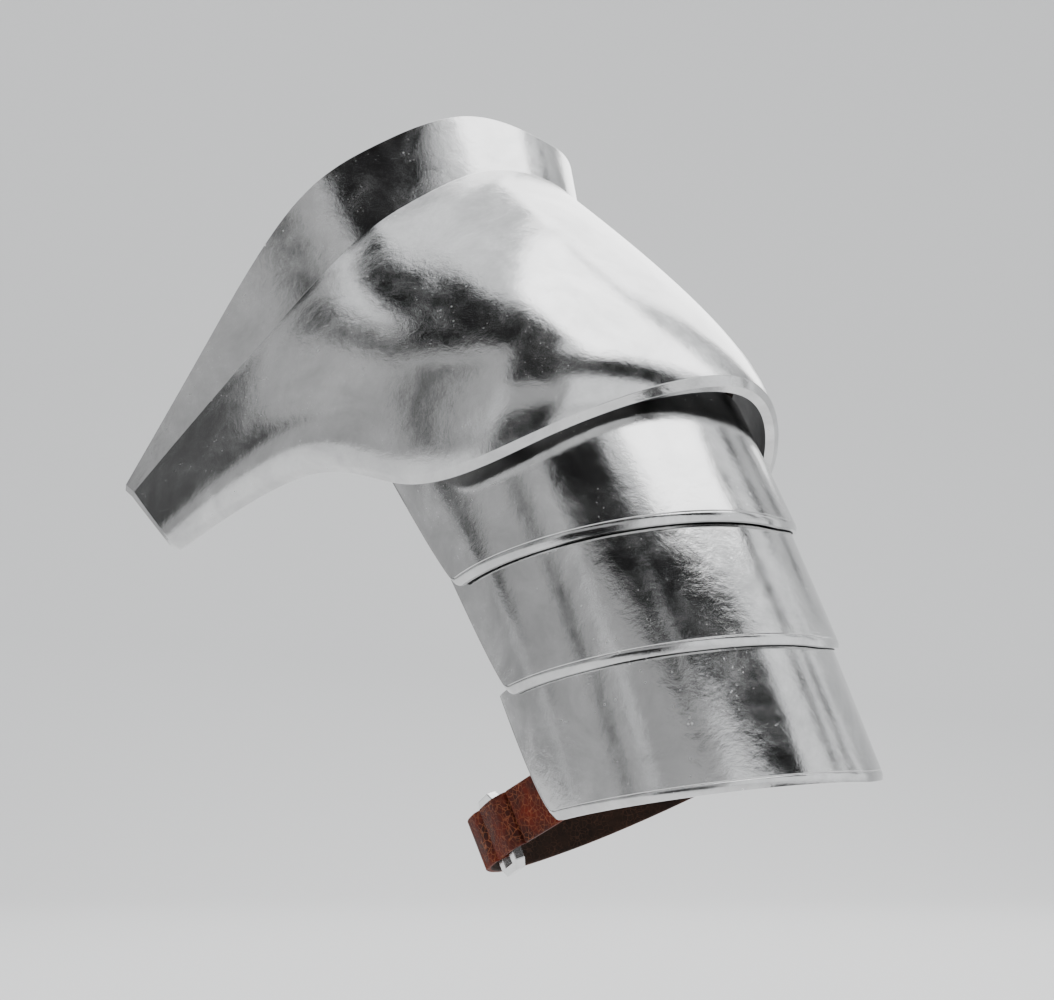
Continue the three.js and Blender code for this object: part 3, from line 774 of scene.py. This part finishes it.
# %% cracked grain, shared by the leathers
def make_cracked_grain():
    tree, given, result = new_group(
        "cracked grain", {"Crack Width": 0.06, "Crack Show": 1.0},
        {"Cracks": "Float", "Mottle": "Float", "Height": "Float"})
    place = add_node(tree, "TexCoord").outputs["Object"]
    wander = add_node(tree, "TexNoise", {"Vector": place, "Scale": 240, "Detail": 3}).outputs["Color"]
    bent = add_node(tree, "VectorMath", {0: wander, "Scale": 0.0024}, operation="SCALE").outputs[0]
    bent = add_node(tree, "VectorMath", {0: place, 1: bent}, operation="ADD").outputs[0]
    net = add_node(tree, "TexVoronoi", {"Vector": bent, "Scale": 470, "Randomness": 1},
                   feature="DISTANCE_TO_EDGE").outputs["Distance"]
    crack = add_node(tree, "MapRange", {
        "Value": net, "From Min": given.outputs["Crack Width"], "From Max": 0.0}).outputs[0]
    where = add_node(tree, "TexNoise", {"Vector": place, "Scale": 130, "Detail": 3}).outputs[0]
    crack = calculate(tree, "MULTIPLY", crack, between(tree, where, 0.38, 0.58, 0.15))
    crack = calculate(tree, "MULTIPLY", crack, given.outputs["Crack Show"])
    mottle = add_node(tree, "TexNoise", {
        "Vector": place, "Scale": 75, "Detail": 6, "Roughness": 0.65}).outputs[0]
    pores = add_node(tree, "TexNoise", {"Vector": place, "Scale": 1500, "Detail": 2}).outputs[0]
    height = calculate(tree, "SUBTRACT", calculate(tree, "MULTIPLY", pores, 0.25), crack)
    tree.links.new(crack, result.inputs["Cracks"])
    tree.links.new(between(tree, mottle, 0.35, 0.65), result.inputs["Mottle"])
    tree.links.new(height, result.inputs["Height"])
    return tree


cracked_grain = make_cracked_grain()
print("group made:", cracked_grain.name)

# %% the leathers
def make_leather(name, dark, light, crack_colour, crack_show, smooth, dull):
    material, tree, shader = new_material(name)
    grain = add_node(tree, "Group", node_tree=cracked_grain)
    grain.inputs["Crack Width"].default_value = 0.09
    grain.inputs["Crack Show"].default_value = crack_show
    colour = blend(tree, grain.outputs["Mottle"], dark, light)
    colour = blend(tree, grain.outputs["Cracks"], colour, crack_colour)
    bump = add_node(tree, "Bump", {"Height": grain.outputs["Height"], "Distance": 0.00025, "Strength": 1.0})
    shader.inputs["Specular IOR Level"].default_value = 0.14
    tree.links.new(colour, shader.inputs["Base Color"])
    tree.links.new(between(tree, grain.outputs["Mottle"], 0, 1, smooth, dull), shader.inputs["Roughness"])
    tree.links.new(bump.outputs["Normal"], shader.inputs["Normal"])
    return material


strap_leather = make_leather("strap leather", (0.020, 0.004, 0.002, 1), (0.100, 0.010, 0.003, 1),
                             (0.22, 0.07, 0.03, 1), 1.0, 0.5, 0.75)
flesh_side = make_leather("strap flesh side", (0.012, 0.007, 0.005, 1), (0.030, 0.016, 0.011, 1),
                          (0.075, 0.035, 0.022, 1), 0.6, 0.6, 0.85)
inner_hide = make_leather("inner hide", (0.020, 0.012, 0.008, 1), (0.050, 0.030, 0.020, 1),
                          (0.10, 0.055, 0.035, 1), 0.4, 0.6, 0.8)

for pieces, materials in (
        ([plate, *lames], (plate_steel, plate_lining)),
        ([strap_front, strap_back], (strap_leather, flesh_side)),
        ([buckle, tongue], (buckle_steel,)),
        (inner_leathers, (inner_hide, inner_hide)),
        (rivets, (rivet_steel,))):
    for piece in pieces:
        for material in materials:
            piece.data.materials.append(material)
print("materials:", sorted({m.name for m in bpy.data.materials if m.users}))

# %% [markdown]
# ## Studio and camera
#
# Polished steel shows what stands round it, so the studio is part of the look. The floor, the wall
# and the sky are pale and plain. Dark flags stand out of the camera's sight, and they draw the dark
# bands that give the plates their shape. Soft lamps fill in from above.

# %% floor, wall and sky
FLOOR_Z = -0.42
COVE_START, COVE_BEND, COVE_WIDTH = 2.2, 1.4, 14
COVE_NEAR, COVE_HIGH = -7, 7
COVE_AZIMUTH = math.radians(40)
SKY_COLOUR = (0.62, 0.63, 0.64, 1)
SKY_STRENGTH = 2.4


def stage_plane(name, middle, facing, width, height, roll_turn=0, seen=True):
    """Flat card that faces a point, wide along the horizontal unless it is rolled."""
    mesh = bpy.data.meshes.new(name)
    w, h = width / 2, height / 2
    mesh.from_pydata([(-w, -h, 0), (w, -h, 0), (w, h, 0), (-w, h, 0)], [], [(0, 1, 2, 3)])
    card = bpy.data.objects.new(name, mesh)
    scene.collection.objects.link(card)
    middle = Vector(middle)
    turn = (Vector(facing) - middle).to_track_quat("Z", "Y").to_matrix().to_4x4()
    card.matrix_world = Matrix.Translation(middle) @ turn @ Matrix.Rotation(math.radians(roll_turn), 4, "Z")
    card.visible_camera = card.visible_shadow = card.visible_diffuse = seen
    return card


def matt(name, colour, roughness=0.9):
    material, tree, shader = new_material(name)
    shader.inputs["Base Color"].default_value = (*colour, 1)
    shader.inputs["Roughness"].default_value = roughness
    shader.inputs["Specular IOR Level"].default_value = 0.2
    return material


pale = matt("pale paper", (0.62, 0.62, 0.62))
flag_black = matt("black flag", (0.012, 0.012, 0.012))
flag_dark = matt("dark flag", (0.07, 0.07, 0.07))
flag_grey = matt("grey flag", (0.36, 0.36, 0.36))


def cove():
    """Floor that curves up into a wall behind the object, as one sheet of paper."""
    section = [(COVE_NEAR, 0), (COVE_START, 0)]
    section += [(COVE_START + COVE_BEND * math.sin(a), COVE_BEND * (1 - math.cos(a)))
                for a in np.radians(np.linspace(5, 90, 18))]
    section.append((COVE_START + COVE_BEND, COVE_HIGH))
    away = Vector((-math.sin(COVE_AZIMUTH), math.cos(COVE_AZIMUTH), 0))
    side = away.cross(Vector((0, 0, 1)))
    points, faces = [], []
    for back, up in section:
        for across in (-COVE_WIDTH / 2, COVE_WIDTH / 2):
            points.append(away * back + side * across + Vector((0, 0, FLOOR_Z + up)))
    for i in range(len(section) - 1):
        faces.append((2 * i, 2 * i + 1, 2 * i + 3, 2 * i + 2))
    mesh = bpy.data.meshes.new("paper cove")
    mesh.from_pydata(points, [], faces)
    mesh.shade_smooth()
    paper = bpy.data.objects.new("paper cove", mesh)
    scene.collection.objects.link(paper)
    paper.data.materials.append(pale)


cove()

world = bpy.data.worlds.new("sky")
scene.world = world
world.use_nodes = True
world.node_tree.nodes["Background"].inputs["Color"].default_value = SKY_COLOUR
world.node_tree.nodes["Background"].inputs["Strength"].default_value = SKY_STRENGTH
print("stage set, floor at", FLOOR_Z)

# %% flags and lamps
STUDIO_MIDDLE = Vector((-0.02, 0, -0.11))


def toward(azimuth, elevation, distance):
    """Point at a distance from the object, azimuth turning from the front toward +X."""
    a, e = math.radians(azimuth), math.radians(elevation)
    return STUDIO_MIDDLE + distance * Vector((
        math.sin(a) * math.cos(e), -math.cos(a) * math.cos(e), math.sin(e)))


# Each flag: azimuth and elevation of its middle and its roll in degrees, distance, width and height
# in metres, and its paper.
FLAGS = [
    ("grey_left", -84, 12, 0, 1.5, 1.6, 2.2, flag_grey),
    ("grey_front", -28, 12, 0, 1.5, 1.6, 2.2, flag_grey),
    ("grey_right", 26, 6, 0, 1.5, 1.2, 1.3, flag_grey),
    ("high_flag", -36, 56, 9, 1.0, 0.6, 0.2, flag_black),
    ("shoulder_flag", 8, 51, 6, 1.0, 0.84, 0.36, flag_black),
    ("middle_flag", 24, 34, 8, 1.0, 0.56, 0.4, flag_black),
    ("long_flag", 72, 31, 9, 1.0, 0.95, 0.3, flag_black),
    ("low_flag", 22, -6, 0, 1.0, 0.66, 0.4, flag_black),
    ("wing_flag", -62, 16, 32, 1.0, 0.8, 0.36, flag_dark),
    ("band_flag_1", -44, 42, 3, 1.0, 0.7, 0.09, flag_dark),
    ("band_flag_2", -13, 14, 0, 1.0, 0.1, 0.75, flag_dark),
    ("stripe_flag_1", 126, 30, 0, 1.0, 0.1, 0.5, flag_black),
    ("stripe_flag_2", 140, 16, 0, 1.0, 0.08, 0.3, flag_black),
    ("stripe_flag_3", 150, 38, 0, 1.0, 0.09, 0.34, flag_black),
    ("stripe_flag_4", 169, 28, 0, 1.0, 0.07, 0.34, flag_black),
    ("rim_flag", 95, -22, 0, 0.65, 0.45, 0.12, flag_black),
]
# Each lamp: azimuth and elevation in degrees, distance and size in metres, and power in watts.
LAMPS = [("key_lamp", 95, 68, 2.2, 2.0, 45), ("back_lamp", -150, 45, 2.4, 2.0, 45)]
for name, azimuth, elevation, roll_turn, distance, width, height, paper in FLAGS:
    flag = stage_plane(name, toward(azimuth, elevation, distance), STUDIO_MIDDLE,
                       width, height, roll_turn, seen=False)
    flag.data.materials.append(paper)
for name, azimuth, elevation, distance, size, power in LAMPS:
    lamp = bpy.data.objects.new(name, bpy.data.lights.new(name, "AREA"))
    lamp.data.size = size
    lamp.data.energy = power
    lamp.location = toward(azimuth, elevation, distance)
    lamp.rotation_euler = (STUDIO_MIDDLE - lamp.location).to_track_quat("-Z", "Y").to_euler()
    lamp.visible_camera = False
    scene.collection.objects.link(lamp)
print("flags:", len(FLAGS), "lamps:", len(LAMPS))

# %% camera
CAMERA_AIM = Vector((-30, 0, -114)) * MM
CAMERA_AZIMUTH, CAMERA_ELEVATION, CAMERA_DISTANCE = math.radians(40), math.radians(-11.6), 0.6149
camera = bpy.data.objects.new("camera", bpy.data.cameras.new("camera"))
scene.collection.objects.link(camera)
camera.data.lens = 50
camera.data.sensor_width = 36
camera.location = CAMERA_AIM + CAMERA_DISTANCE * Vector((
    math.sin(CAMERA_AZIMUTH) * math.cos(CAMERA_ELEVATION),
    -math.cos(CAMERA_AZIMUTH) * math.cos(CAMERA_ELEVATION),
    math.sin(CAMERA_ELEVATION)))
camera.rotation_euler = (CAMERA_AIM - camera.location).to_track_quat("-Z", "Y").to_euler()
scene.camera = camera
print("camera at", [round(c, 3) for c in camera.location])
